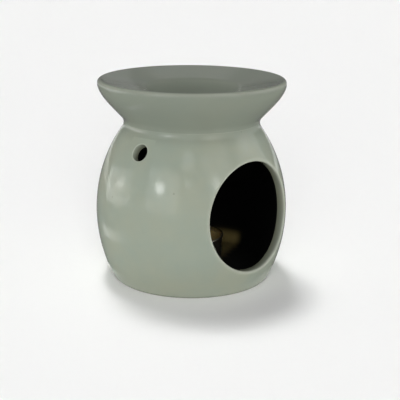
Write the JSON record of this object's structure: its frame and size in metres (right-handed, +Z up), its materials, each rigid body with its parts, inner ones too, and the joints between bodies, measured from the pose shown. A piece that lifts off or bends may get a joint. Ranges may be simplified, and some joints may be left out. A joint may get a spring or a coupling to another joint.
{
  "type": "oil burner",
  "caption": "Glazed ceramic oil burner: pear-shaped tealight chamber with an oval opening and round vents under a flared oil dish, with its tealight.",
  "frame": {"origin": "centre of the foot ring, on the surface the burner stands on", "axes": "+Z up, -Y out of the oval tealight opening, +X to the right of someone who faces the opening"},
  "size_m": [0.11, 0.1084, 0.115],
  "materials": {
    "celadon_glaze": "glossy grey-green celadon glaze",
    "cup_foil": "pressed bright foil",
    "candle_wax": null,
    "tab_steel": "tinned",
    "wick_cotton": "braided, waxed"
  },
  "bodies": {
    "burner": {"chamber_body": "celadon_glaze", "dish": "celadon_glaze"},
    "tealight": {"tealight_cup": "cup_foil", "tealight_wax": "candle_wax", "wick_sustainer": "tab_steel", "wick": "wick_cotton"}
  },
  "joints": [
    {"name": "tealight_lift_out", "type": "slide", "parent": "burner", "child": "tealight", "axis": [0, -0.9063, 0.4226], "range_m": [0, 0.09]}
  ]
}
